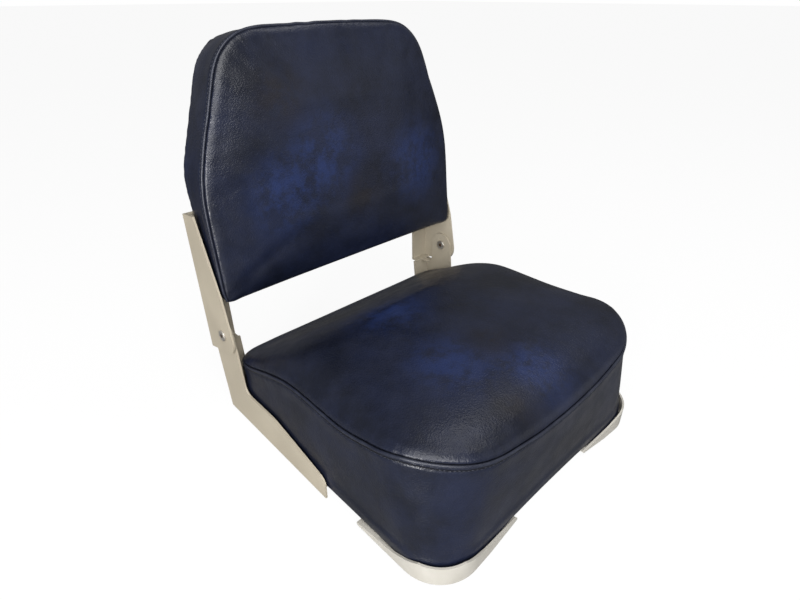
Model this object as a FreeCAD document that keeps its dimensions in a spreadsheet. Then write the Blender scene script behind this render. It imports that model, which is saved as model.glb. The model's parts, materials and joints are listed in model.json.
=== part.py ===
"""Folding boat seat: padded seat on a moulded pan, padded back on two riveted hinge arms.

Millimetres. Z is up, the sitter looks along -Y and +X is the sitter's left side.
The origin is the centre of the mounting bolt pattern on the underside of the pan.
"""

import FreeCAD, Part

import math
import os
import re

import Sketcher

Vector = FreeCAD.Vector
X_AXIS = Vector(1, 0, 0)
Y_AXIS = Vector(0, 1, 0)
Z_AXIS = Vector(0, 0, 1)
ORIGIN = Vector(0, 0, 0)
PLUS_X = 1
MINUS_X = -1

# Sizes in mm and degrees, one row of the sheet each
SIZES = [
    # Pan and mounting
    ("deck_under", 14.0),
    ("deck_thick", 4.0),
    ("deck_edge_gap", 1.0),
    ("pad_size", 178.0),
    ("bolt_spacing", 127.0),
    ("bolt_hole_radius", 3.5),
    ("bolt_ledge", 5.0),
    ("tnut_barrel_radius", 4.2),
    ("tnut_bore_radius", 3.175),
    ("tnut_flange_radius", 9.5),
    ("tnut_flange_thick", 1.2),
    ("arm_pad_width", 50.0),
    ("arm_pad_length", 206.0),
    ("foot_reach_side", 123.0),
    ("foot_reach_front", 124.0),
    ("foot_wall", 2.4),
    ("foot_gap", 1.0),
    ("foot_height", 29.5),
    ("foot_slope_length", 89.0),
    ("foot_knee_length", 57.0),
    ("foot_knee_radius", 60.0),
    ("foot_side_knee_height", 15.5),
    ("foot_side_end_height", 9.0),
    ("foot_side_lift", 6.0),
    ("foot_side_lift_length", 14.0),
    ("foot_front_knee_height", 20.5),
    ("foot_front_end_height", 13.5),
    ("foot_front_lift", 11.0),
    ("foot_front_lift_length", 84.0),
    ("foot_draft", 4.6),
    ("foot_draft_height", 12.0),
    ("foot_corner_radius", 47.0),
    ("foot_plate_gap", 0.4),
    ("foot_block_gap", 1.6),
    ("foot_block_depth", 26.0),
    ("rear_foot_size", 46.0),
    # Seat cushion
    ("seat_front", 194.0),
    ("seat_rear", 190.0),
    ("seat_half", 199.0),
    ("seat_front_tuck", 5.0),
    ("seat_front_top_tuck", 2.0),
    ("seat_rear_top_tuck", 5.0),
    ("seat_corner_low", 52.0),
    ("seat_corner_front", 84.0),
    ("seat_front_bow", 16.0),
    ("seat_hem_draw", 8.0),
    ("seat_front_bulge", 2.0),
    ("seat_corner_rear", 34.0),
    ("seat_bulge", 1.2),
    ("seat_bulge_height", 66.0),
    ("seat_welt_rear", 89.0),
    ("seat_welt_side", 128.0),
    ("seat_welt_rise_length", 160.0),
    ("seat_welt_corner_rise", 22.0),
    ("seat_welt_corner_start", 35.0),
    ("seat_welt_corner_length", 110.0),
    ("seat_welt_front_dip", 20.0),
    ("seat_welt_front_start", 120.0),
    ("seat_crown_rear", 97.0),
    ("seat_crown_top", 168.0),
    ("seat_crown_front_drop", 15.0),
    ("seat_crown_rise_length", 170.0),
    ("seat_crown_front_length", 135.0),
    ("seat_level_reach", 95.0),
    ("seat_cap_inset", 140.0),
    ("level_radius_min", 28.0),
    ("vinyl", 1.2),
    ("foam_gap", 0.6),
    ("hem_width", 12.0),
    ("seam_gap", 0.2),
    ("welt_radius", 1.6),
    ("welt_gap", 0.3),
    # Hinge
    ("pivot_inset", 10.0),
    ("pivot_height", 134.0),
    ("sheet_thick", 2.5),
    ("arm_side_gap", 0.5),
    ("washer_thick", 1.0),
    ("washer_radius", 10.0),
    ("rivet_radius", 4.0),
    ("rivet_play", 0.06),
    ("rivet_head_radius", 7.5),
    ("rivet_head_thick", 2.2),
    ("rivet_bore_radius", 2.2),
    ("rivet_bore_depth", 4.0),
    ("rivet_edge", 1.1),
    ("flange_width", 33.0),
    ("stop_gap", 0.3),
    # Lower arm, from the pivot
    ("lower_arm_bottom", 2.0),
    ("lower_arm_heel", 24.0),
    ("lower_arm_reach", 198.0),
    ("lower_arm_tip_height", 29.0),
    ("lower_arm_leg_height", 53.0),
    ("lower_arm_leg_flat", 96.0),
    ("lower_arm_tip_radius", 13.0),
    ("lower_arm_inner_radius", 13.0),
    ("lower_arm_upright_front", 29.0),
    ("lower_arm_upright_rear", 35.5),
    ("lower_arm_shoulder_drop", 34.0),
    ("lower_arm_neck", 21.0),
    ("ear_radius", 20.0),
    # Upper arm, from the pivot
    ("upper_arm_lean", 1.6),
    ("upper_arm_rear", 43.5),
    ("upper_arm_top", 151.0),
    ("upper_arm_top_front", 15.5),
    ("upper_arm_top_slope", 3.0),
    ("upper_arm_waist", 57.0),
    ("upper_arm_waist_front", 15.5),
    ("upper_arm_tail_front", 25.0),
    ("upper_arm_tail_bottom", 25.0),
    ("upper_arm_tail_radius", 22.0),
    ("upper_arm_tail_rear_drop", 36.0),
    ("stop_lip_reach", 13.0),
    ("stop_tooth_reach", 12.0),
    ("stop_tooth_width", 8.0),
    ("stop_tooth_inset", 8.0),
    # Back cushion, in its own plane from the pivot
    ("back_recline", 5.66),
    ("back_bottom", 45.0),
    ("back_top", 345.0),
    ("back_top_bow", 4.0),
    ("back_bottom_tuck", 0.0),
    ("back_knee_tuck", 1.5),
    ("back_knee", 190.0),
    ("back_top_tuck", 57.0),
    ("back_corner_bottom", 12.0),
    ("back_corner_knee", 230.0),
    ("back_corner_top", 60.0),
    ("back_level_reach", 50.0),
    ("back_cap_inset", 90.0),
    ("back_welt_front", 17.7),
    ("back_crown", 13.0),
    ("back_bulge", 1.5),
    ("back_rear_bulge", 40.0),
    ("back_rear_edge", 7.0),
    ("back_rear_rise", 40.0),
    ("back_rear_reach", 60.0),
    ("back_press_width", 40.0),
    ("back_press_margin", 4.0),
    ("back_arm_gap", 0.9),
    ("board_thick", 8.0),
    ("board_side_inset", 12.0),
    ("board_top_side_inset", 16.0),
    ("board_bottom_inset", 17.0),
    ("board_shoulder_drop", 10.0),
    ("board_top_inset", 45.0),
    ("board_gap", 0.3),
    ("board_foam", 2.0),
    # Screws
    ("screw_radius", 2.2),
    ("screw_hole_radius", 2.6),
    ("screw_head_radius", 4.6),
    ("screw_head_thick", 1.6),
    ("lower_screw_length", 10.0),
    ("upper_screw_length", 13.0),
    ("screw_edge", 8.5),
    ("lower_screw_first", 20.0),
    ("lower_screw_pitch", 76.0),
    ("upper_screw_first", 72.0),
    ("upper_screw_pitch", 32.0),
]

# Shares of a cushion's level reach, and the share of its crown that is reached there
SEAT_LEVELS = [(0.032, 0.26), (0.105, 0.56), (0.253, 0.78), (0.526, 0.91), (1.0, 0.98)]
BACK_LEVELS = [(0.06, 0.28), (0.2, 0.6), (0.48, 0.82), (1.0, 0.95)]
REAR_LEVELS = [1.0, 0.667, 0.433]
HOLE_DEPTH = 20.0
FOOT_PROBE = 20.0
SCREWS_PER_ARM = 3
LINE_POINTS = 12
LINE_SPAN = 3
ARC_POINTS = 9
ARC_SPAN = 4
CORD_RINGS = 80
CORD_SPAN = 10
RING_POINTS = 6
FAR = 400.0
SEW_GAP = 0.001
SKIN_DEGREE = 3

document = FreeCAD.newDocument("folding_boat_seat")
sheet = document.addObject("Spreadsheet::Sheet", "sizes")
for row, (alias, number) in enumerate(SIZES, 1):
    sheet.set(f"A{row}", alias)
    sheet.set(f"B{row}", str(number))
    sheet.setAlias(f"B{row}", alias)
document.recompute()
ALIASES = {alias for alias, number in SIZES}
pieces = []


def size(alias):
    """Reads one size from the sheet."""
    return float(sheet.get(alias))


def bind(expression):
    """Names the sheet in front of each size in an expression."""
    return re.sub(
        r"[A-Za-z_]\w*",
        lambda word: "sizes." + word.group(0) if word.group(0) in ALIASES else word.group(0),
        expression,
    )


def number_of(expression):
    """Gives the value of an expression now, for the first drawing of a sketch."""
    result = sheet.evalExpression(bind(expression))
    return float(getattr(result, "Value", result))


# Sketches and features


def new_body(label):
    body = document.addObject("PartDesign::Body", label)
    body.Label = label
    return body


def new_sketch(body, name, role, offset):
    """A sketch on one of the body's own planes, at an offset along its normal."""
    sketch = body.newObject("Sketcher::SketchObject", name)
    plane = [item for item in body.Origin.OriginFeatures if item.Role == role][0]
    sketch.AttachmentSupport = [(plane, "")]
    sketch.MapMode = "FlatFace"
    sketch.setExpression("AttachmentOffset.Base.z", bind(offset))
    return sketch


def bind_constraint(sketch, constraint, expression):
    index = sketch.addConstraint(constraint)
    sketch.setExpression(f"Constraints[{index}]", bind(expression))


def turn_at(last, corner, following):
    """Positive where a path turns left at a corner."""
    into = corner - last
    out = following - corner
    return into.x * out.y - into.y * out.x


def polygon_sketch(body, name, role, offset, corners, radii=None):
    """A closed polygon with its corners, and the radii of its round corners, bound to the sheet."""
    sketch = new_sketch(body, name, role, offset)
    rounds = radii or {}
    drawn = [Vector(number_of(across), number_of(along), 0) for across, along in corners]
    count = len(corners)
    starts = list(drawn)
    ends = list(drawn)
    middles = {}
    for index, radius in rounds.items():
        corner = drawn[index]
        to_last = (drawn[index - 1] - corner).normalize()
        to_next = (drawn[(index + 1) % count] - corner).normalize()
        half = to_last.getAngle(to_next) / 2
        reach = number_of(radius) / math.tan(half)
        ends[index] = corner + to_last * reach
        starts[index] = corner + to_next * reach
        middles[index] = corner + (to_last + to_next).normalize() * (number_of(radius) / math.sin(half))
    for index in range(count):
        sketch.addGeometry(Part.LineSegment(starts[index], ends[(index + 1) % count]))
    for index, corner in enumerate(drawn):
        line_in = (index - 1) % count
        if index not in rounds:
            sketch.addConstraint(Sketcher.Constraint("Coincident", line_in, 2, index, 1))
            vertex, place = index, 1
        else:
            radius = number_of(rounds[index])
            circle = Part.Circle(middles[index], Z_AXIS, radius)
            angles = []
            for point in (ends[index], starts[index]):
                angles.append(math.atan2(point.y - middles[index].y, point.x - middles[index].x))
            left = turn_at(drawn[index - 1], corner, drawn[(index + 1) % count]) > 0
            first, last = angles if left else angles[::-1]
            arc = sketch.addGeometry(Part.ArcOfCircle(circle, first, last))
            near, far = (1, 2) if left else (2, 1)
            sketch.addConstraint(Sketcher.Constraint("Tangent", line_in, 2, arc, near))
            sketch.addConstraint(Sketcher.Constraint("Tangent", index, 1, arc, far))
            bind_constraint(sketch, Sketcher.Constraint("Radius", arc, radius), rounds[index])
            vertex = sketch.addGeometry(Part.Point(corner), True)
            place = 1
            sketch.addConstraint(Sketcher.Constraint("PointOnObject", vertex, 1, line_in))
            sketch.addConstraint(Sketcher.Constraint("PointOnObject", vertex, 1, index))
        across, along = corners[index]
        bind_constraint(sketch, Sketcher.Constraint("DistanceX", vertex, place, corner.x), across)
        bind_constraint(sketch, Sketcher.Constraint("DistanceY", vertex, place, corner.y), along)
    return sketch


def circles_sketch(body, name, role, offset, centres, radius):
    """Circles of one radius whose centres are bound to the sheet."""
    sketch = new_sketch(body, name, role, offset)
    drawn_radius = number_of(radius)
    for index, (across, along) in enumerate(centres):
        middle = Vector(number_of(across), number_of(along), 0)
        sketch.addGeometry(Part.Circle(middle, Z_AXIS, drawn_radius))
        bind_constraint(sketch, Sketcher.Constraint("DistanceX", index, 3, middle.x), across)
        bind_constraint(sketch, Sketcher.Constraint("DistanceY", index, 3, middle.y), along)
        bind_constraint(sketch, Sketcher.Constraint("Radius", index, drawn_radius), radius)
    return sketch


def pad(body, name, sketch, length):
    feature = body.newObject("PartDesign::Pad", name)
    feature.Profile = sketch
    feature.setExpression("Length", bind(length))
    document.recompute()
    return feature


def pocket(body, name, sketch, length):
    """Removes material on the side that the sketch's normal points to."""
    feature = body.newObject("PartDesign::Pocket", name)
    feature.Profile = sketch
    feature.Reversed = True
    feature.setExpression("Length", bind(length))
    document.recompute()
    return feature


def round_edges(body, name, base, edges, radius):
    feature = body.newObject("PartDesign::Fillet", name)
    feature.Base = (base, edges)
    feature.setExpression("Radius", bind(radius))
    document.recompute()
    return feature


def edges_along(shape, axis, corners):
    """Names the straight edges along an axis that pass through the given corners."""
    names = []
    for index, edge in enumerate(shape.Edges, 1):
        if len(edge.Vertexes) != 2:
            continue
        start = edge.Vertexes[0].Point
        run = edge.Vertexes[1].Point - start
        if run.Length < 0.1 or abs(run.dot(axis)) < 0.999 * run.Length:
            continue
        for corner in corners:
            across = start - corner
            if (across - axis * across.dot(axis)).Length < 0.01:
                names.append(f"Edge{index}")
    return names


def edge_at(shape, place):
    """Names the edge that passes through a place."""
    probe = Part.Vertex(place)
    for index, edge in enumerate(shape.Edges, 1):
        if edge.distToShape(probe)[0] < 0.001:
            return f"Edge{index}"
    raise RuntimeError("no edge at the place asked for")


def circular_edges(shape, radius, centre):
    """Names the full circles of a radius about a centre."""
    names = []
    for index, edge in enumerate(shape.Edges, 1):
        curve = edge.Curve
        if not isinstance(curve, Part.Circle):
            continue
        if abs(curve.Radius - radius) < 0.001 and (curve.Center - centre).Length < 0.01:
            names.append(f"Edge{index}")
    return names


def finish_body(body, placement=None):
    if placement is not None:
        body.Placement = placement
    pieces.append(body)
    return body


def new_piece(label, shape, placement=None):
    """A sub-part whose shape is built from the sheet's sizes."""
    piece = document.addObject("Part::Feature", label)
    piece.Label = label
    piece.Shape = shape
    if placement is not None:
        piece.Placement = placement
    pieces.append(piece)
    return piece


def lean_about_pivot(angle):
    """Placement of a frame at the pivot that leans back by an angle in degrees."""
    place = Vector(0, number_of(PIVOT_BACK), size("pivot_height"))
    return FreeCAD.Placement(place, FreeCAD.Rotation(X_AXIS, -angle))


# Shared places

DECK_TOP = "deck_under + deck_thick"
FRONT_HALF = "(seat_half - seat_front_tuck)"
PIVOT_BACK = "(seat_rear - pivot_inset)"
WEB_INNER = "seat_half + arm_side_gap"
LOWER_WEB_OUTER = f"{WEB_INNER} + sheet_thick"
UPPER_WEB_INNER = f"{LOWER_WEB_OUTER} + washer_thick"
UPPER_WEB_OUTER = f"{UPPER_WEB_INNER} + sheet_thick"
LOWER_FLANGE_INNER = f"{LOWER_WEB_OUTER} - flange_width"
UPPER_FLANGE_INNER = f"{UPPER_WEB_OUTER} - flange_width"
LOWER_BOTTOM = "lower_arm_bottom - pivot_height"
SIDES = {"right": MINUS_X, "left": PLUS_X}


def web_offset(side, inner, outer):
    """Where a pad along +X starts so that it fills inner to outer on one side."""
    return inner if side == PLUS_X else f"-({outer})"


def lower_screw_places():
    """Along-Y expressions of the screws under one lower arm, from the pivot."""
    return [f"-lower_screw_first - {index} * lower_screw_pitch" for index in range(SCREWS_PER_ARM)]


def upper_screw_places():
    return [f"upper_screw_first + {index} * upper_screw_pitch" for index in range(SCREWS_PER_ARM)]


# Soft outlines


def offset_corners(corners, inset):
    """Moves each side of a counter-clockwise polygon inward by the inset."""
    count = len(corners)
    lines = []
    for index in range(count):
        start = corners[index]
        end = corners[(index + 1) % count]
        along = (end - start).normalize()
        inward = Vector(-along.y, along.x, 0)
        lines.append((start + inward * inset, along))
    moved = []
    for index in range(count):
        point, along = lines[index - 1]
        other, across = lines[index]
        cross = along.x * across.y - along.y * across.x
        gap = other - point
        reach = (gap.x * across.y - gap.y * across.x) / cross
        moved.append(point + along * reach)
    return moved


def rounded_points(corners, radii, inset):
    """Points round a polygon with rounded corners, the same count at every inset."""
    moved = offset_corners(corners, inset)
    count = len(moved)
    arcs = []
    for index in range(count):
        corner = moved[index]
        to_last = (moved[index - 1] - corner).normalize()
        to_next = (moved[(index + 1) % count] - corner).normalize()
        half = math.acos(max(-1.0, min(1.0, to_last.dot(to_next)))) / 2
        radius = max(radii[index] - inset, min(radii[index], size("level_radius_min")))
        reach = radius / math.tan(half)
        centre = corner + (to_last + to_next).normalize() * (radius / math.sin(half))
        first = corner + to_last * reach - centre
        last = corner + to_next * reach - centre
        sweep = math.atan2(first.x * last.y - first.y * last.x, first.dot(last))
        arc = []
        for step in range(ARC_POINTS):
            turn = sweep * step / (ARC_POINTS - 1)
            arc.append(
                centre
                + Vector(
                    first.x * math.cos(turn) - first.y * math.sin(turn),
                    first.x * math.sin(turn) + first.y * math.cos(turn),
                    0,
                )
            )
        arcs.append(arc)
    points = []
    for index in range(count):
        points.extend(arcs[index])
        start = arcs[index][-1]
        end = arcs[(index + 1) % count][0]
        for step in range(1, LINE_POINTS):
            points.append(start + (end - start) * (step / LINE_POINTS))
    return points


def run_curve(points, leaving, meeting):
    """An edge through a run of points, with the directions in which it leaves and meets its ends."""
    curve = Part.BSplineCurve()
    curve.interpolate(
        Points=points,
        Parameters=[float(index) for index in range(len(points))],
        InitialTangent=leaving,
        FinalTangent=meeting,
    )
    return curve.toShape()


def loop_direction(points, index):
    """Direction along a loop at one of its points, which at a corner's end is its side's."""
    place = index % (ARC_POINTS + LINE_POINTS - 1)
    before = points[index] - points[index - 1]
    after = points[(index + 1) % len(points)] - points[index]
    if place == 0:
        return before
    return after if place == ARC_POINTS - 1 else before + after


def outline_wire(points):
    """A closed wire round an outline, with a few edges for each round corner and each side."""
    step = ARC_POINTS + LINE_POINTS - 1
    breaks = list(range(0, ARC_POINTS - 1, ARC_SPAN)) + list(range(ARC_POINTS - 1, step, LINE_SPAN))
    starts = [corner + place for corner in range(0, len(points), step) for place in breaks]
    edges = []
    for first, last in zip(starts, starts[1:] + [len(points)]):
        run = [points[index % len(points)] for index in range(first, last + 1)]
        leaving = loop_direction(points, first)
        edges.append(run_curve(run, leaving, loop_direction(points, last % len(points))))
    return Part.Wire(edges)


def ring_wire(points):
    curve = Part.BSplineCurve()
    curve.interpolate(Points=points, PeriodicFlag=True)
    return Part.Wire(curve.toShape())


def closed_wire(points):
    """The wire of a cord's ring, or of an outline."""
    return ring_wire(points) if len(points) == RING_POINTS else outline_wire(points)


def skin_of(loops):
    """The faces of a smooth skin through closed loops."""
    return Part.makeLoft([closed_wire(loop) for loop in loops], False, False, False, SKIN_DEGREE).Faces


def flat_face(loop):
    return Part.Face(closed_wire(loop))


def strip_between(loop, other):
    """The faces of a straight strip between two closed loops."""
    return Part.makeLoft([closed_wire(loop), closed_wire(other)], False, True).Faces


def ring_face(outer, inner):
    """A flat ring between two closed loops."""
    return flat_face(outer).cut(flat_face(inner)).Faces[0]


def sewn_solid(faces):
    """A solid from faces that close on each other."""
    shell = Part.makeCompound(faces)
    shell.sewShape(SEW_GAP)
    solid = Part.makeSolid(shell.Shells[0])
    if solid.Volume < 0:
        solid.reverse()
    return solid


def tube_along(points, radius, away, closed):
    """A round cord along a path, through rings that keep one side away from the cushion."""
    curve = Part.BSplineCurve()
    curve.interpolate(Points=points, PeriodicFlag=closed)
    rings = []
    for place in curve.discretize(CORD_RINGS + 1):
        along = Vector(*curve.tangent(curve.parameter(place))[0])
        side = along.cross(away).normalize()
        other = side.cross(along).normalize()
        ring = []
        for step in range(RING_POINTS):
            turn = 2 * math.pi * step / RING_POINTS
            ring.append(place + side * (radius * math.cos(turn)) + other * (radius * math.sin(turn)))
        rings.append(ring)
    faces = []
    if closed:
        rings[-1] = rings[0]
    else:
        faces += [flat_face(rings[0]), flat_face(rings[-1])]
    for start in range(0, CORD_RINGS, CORD_SPAN):
        faces += skin_of(rings[start : start + CORD_SPAN + 1])
    return sewn_solid(faces)


def only_solid(shape):
    """The largest solid of a boolean's result."""
    return max(shape.Solids, key=lambda solid: solid.Volume)


def ease(share):
    clipped = max(0.0, min(1.0, share))
    return clipped * clipped * (3 - 2 * clipped)


# Seat cushion form


def seat_corners(front_half, rear_half):
    front = -size("seat_front")
    rear = size("seat_rear")
    return [
        Vector(-front_half, front, 0),
        Vector(front_half, front, 0),
        Vector(rear_half, rear, 0),
        Vector(-rear_half, rear, 0),
    ]


def seat_outline(level, inset):
    """Plan outline of the seat, from 0 at its hem to 1 at its seam."""
    low_tuck = size("seat_front_tuck")
    front_half = size("seat_half") - low_tuck
    front_half += (low_tuck - size("seat_front_top_tuck")) * level
    front_half += size("seat_front_bulge") * 4 * level * (1 - level)
    rear_half = size("seat_half") - size("seat_rear_top_tuck") * level
    front_radius = size("seat_corner_low")
    front_radius += (size("seat_corner_front") - front_radius) * level
    rear_radius = size("seat_corner_rear")
    radii = [front_radius, front_radius, rear_radius, rear_radius]
    points = rounded_points(seat_corners(front_half, rear_half), radii, inset)
    return [point + Y_AXIS * seat_bow(point, front_half, level) for point in points]


def seat_bow(point, half, level):
    """How far the front edge is drawn back: beside its middle at the seam, at its middle at the hem."""
    ahead = max(0.0, -point.y / size("seat_front")) ** 2
    off_middle = (point.x / half) ** 2
    seam_bow = size("seat_front_bow") * off_middle
    hem_bow = size("seat_hem_draw") * (1 - off_middle)
    return (seam_bow * level + hem_bow * (1 - level)) * ahead


def seat_welt_height(point):
    """Height of the seat's seam at a place in plan."""
    rear = size("seat_welt_rear")
    rise = (size("seat_rear") - point.y) / size("seat_welt_rise_length")
    height = rear + (size("seat_welt_side") - rear) * ease(rise)
    ahead = (-point.y - size("seat_welt_corner_start")) / size("seat_welt_corner_length")
    height += size("seat_welt_corner_rise") * ease(ahead)
    front_start = size("seat_welt_front_start")
    near_front = ease((-point.y - front_start) / (size("seat_front") - front_start))
    off_middle = min(1.0, (point.x / (size("seat_half") - size("seat_front_top_tuck"))) ** 2)
    return height - size("seat_welt_front_dip") * near_front * (1 - off_middle)


def seat_crown_height(along):
    """Height of the seat's crown at a place along Y."""
    rear = size("seat_crown_rear")
    top = size("seat_crown_top")
    share = max(0.0, min(1.0, (size("seat_rear") - along) / size("seat_crown_rise_length")))
    height = rear + (top - rear) * math.sin(math.pi / 2 * share) ** 1.3
    front_length = size("seat_crown_front_length")
    ahead = max(0.0, (front_length - size("seat_front") - along) / front_length)
    return height - size("seat_crown_front_drop") * ahead**2


def seat_band_loops(inset, bottom):
    """Loops up the seat's side, drawn in by an inset, from a bottom height to the seam."""
    middle = seat_outline(0.5, inset - size("seat_bulge"))
    share = size("seat_bulge_height") / size("seat_welt_side")
    return [
        [point + Z_AXIS * bottom for point in seat_outline(0, inset)],
        [point + Z_AXIS * (share * seat_welt_height(point)) for point in middle],
        [point + Z_AXIS * seat_welt_height(point) for point in seat_outline(1, inset)],
    ]


def seat_crown_loops(inset, gap):
    """Loops over the seat's top, drawn in by an inset, from a gap above the seam to the crown."""
    loops = [[point + Z_AXIS * (seat_welt_height(point) + gap) for point in seat_outline(1, inset)]]
    for reach, share in SEAT_LEVELS:
        loop = []
        for point in seat_outline(1, inset + reach * size("seat_level_reach")):
            welt = seat_welt_height(point)
            rise = (seat_crown_height(point.y) - welt) * share
            loop.append(point + Z_AXIS * (welt + rise - inset))
        loops.append(loop)
    cap_height = size("seat_crown_top") - inset
    loops.append([point + Z_AXIS * cap_height for point in seat_outline(1, size("seat_cap_inset"))])
    return loops


def build_seat_cushion():
    vinyl = size("vinyl")
    deck_under = size("deck_under")
    foam_inset = vinyl + size("foam_gap")
    foam_band = seat_band_loops(foam_inset, deck_under + size("deck_thick"))
    foam_crown = seat_crown_loops(foam_inset, 0)
    foam_faces = [flat_face(foam_band[0]), flat_face(foam_crown[-1])]
    foam_faces += skin_of(foam_band) + skin_of(foam_crown)
    new_piece("seat_foam", sewn_solid(foam_faces))

    seam_gap = size("seam_gap")
    outer = seat_crown_loops(0, seam_gap)
    inner = seat_crown_loops(vinyl, seam_gap)
    top_faces = [flat_face(outer[-1]), flat_face(inner[-1])]
    top_faces += skin_of(outer) + skin_of(inner) + strip_between(outer[0], inner[0])
    new_piece("seat_top_cover", sewn_solid(top_faces))

    outer = seat_band_loops(0, deck_under - vinyl)
    inner = seat_band_loops(vinyl, deck_under)
    hem = seat_outline(0, size("hem_width"))
    hem_low = [point + Z_AXIS * (deck_under - vinyl) for point in hem]
    hem_high = [point + Z_AXIS * deck_under for point in hem]
    band_faces = skin_of(outer) + skin_of(inner)
    band_faces += strip_between(outer[-1], inner[-1]) + strip_between(hem_low, hem_high)
    band_faces += [ring_face(outer[0], hem_low), ring_face(inner[0], hem_high)]
    new_piece("seat_side_band", sewn_solid(band_faces))

    path = []
    for point in seat_outline(1, -size("welt_radius") - size("welt_gap")):
        path.append(point + Z_AXIS * seat_welt_height(point))
    new_piece("seat_welt", tube_along(path, size("welt_radius"), Z_AXIS, True))


# Back cushion form, drawn in the plane of the back


def back_corners():
    bottom = size("back_bottom")
    top = size("back_top")
    knee = size("back_knee")
    half_bottom = size("seat_half") - size("back_bottom_tuck")
    half_knee = size("seat_half") - size("back_knee_tuck")
    half_top = size("seat_half") - size("back_top_tuck")
    return [
        Vector(-half_bottom, bottom, 0),
        Vector(half_bottom, bottom, 0),
        Vector(half_knee, knee, 0),
        Vector(half_top, top, 0),
        Vector(-half_top, top, 0),
        Vector(-half_knee, knee, 0),
    ]


def back_outline(inset):
    bottom = size("back_corner_bottom")
    knee = size("back_corner_knee")
    top = size("back_corner_top")
    points = rounded_points(back_corners(), [bottom, bottom, knee, top, top, knee], inset)
    return [point - Y_AXIS * back_bow(point) for point in points]


def back_bow(point):
    """How far the top edge falls beside its middle."""
    knee = size("back_knee")
    above = ease((point.y - knee) / (size("back_top") - knee))
    off_middle = point.x / (size("seat_half") - size("back_top_tuck"))
    return size("back_top_bow") * off_middle**2 * above


def back_rear_depth(point):
    """Depth of the back's rear face behind the pivot, pressed in where the arms lie on it."""
    turn = math.radians(size("back_recline") - size("upper_arm_lean"))
    rest = size("upper_arm_rear") - size("sheet_thick") - size("back_arm_gap")
    pressed = rest / math.cos(turn) - math.tan(turn) * point.y
    full = size("back_rear_bulge")
    arm_top = size("upper_arm_top") * math.cos(turn) + rest * math.sin(turn)
    arm_inner = number_of(UPPER_FLANGE_INNER) - size("back_press_margin")
    below = 1 - ease((point.y - arm_top) / size("back_rear_rise"))
    beside = ease((abs(point.x) - arm_inner) / size("back_press_width") + 1)
    return full + (pressed - full) * below * beside


def back_point(point, depth):
    """A point of the back's outline, at a depth behind the pivot."""
    return Vector(point.x, depth, point.y)


def back_rear_loops(inset):
    """Loops over the back's rear panel, from its middle to its seam."""
    edge = size("back_rear_edge")
    cap_depth = size("back_rear_bulge") - inset
    loops = [[back_point(point, cap_depth) for point in back_outline(size("back_cap_inset"))]]
    insets = [reach * size("back_rear_reach") for reach in REAR_LEVELS]
    for level_inset in insets + [edge]:
        outline = back_outline(level_inset + inset)
        loops.append([back_point(point, back_rear_depth(point) - inset) for point in outline])
    seam = back_outline(inset)
    loops.append([back_point(point, back_rear_depth(point) - edge) for point in seam])
    return loops


def back_band_loops(inset, gap):
    """Loops round the back's side, from a gap ahead of the rear seam to the front seam."""
    front = -size("back_welt_front")
    edge = size("back_rear_edge")
    rear = edge + gap
    seam = back_outline(inset)
    middle = back_outline(inset - size("back_bulge"))
    return [
        [back_point(point, back_rear_depth(point) - rear) for point in seam],
        [back_point(point, (back_rear_depth(point) - edge + front) / 2) for point in middle],
        [back_point(point, front) for point in seam],
    ]


def back_crown_loops(inset, gap):
    """Loops over the back's front panel, from a gap ahead of its seam to its crown."""
    front = -size("back_welt_front")
    crown = size("back_crown")
    loops = [[back_point(point, front - gap) for point in back_outline(inset)]]
    for reach, share in BACK_LEVELS:
        depth = front - crown * share + inset
        outline = back_outline(reach * size("back_level_reach") + inset)
        loops.append([back_point(point, depth) for point in outline])
    cap_depth = front - crown + inset
    loops.append([back_point(point, cap_depth) for point in back_outline(size("back_cap_inset"))])
    return loops


def upper_screw_axes():
    """Axis points of the screws in the frame of the upper arms."""
    across = number_of(f"{UPPER_FLANGE_INNER} + screw_edge")
    for side in (MINUS_X, PLUS_X):
        for expression in upper_screw_places():
            yield Vector(side * across, size("upper_arm_rear"), number_of(expression))


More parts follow.
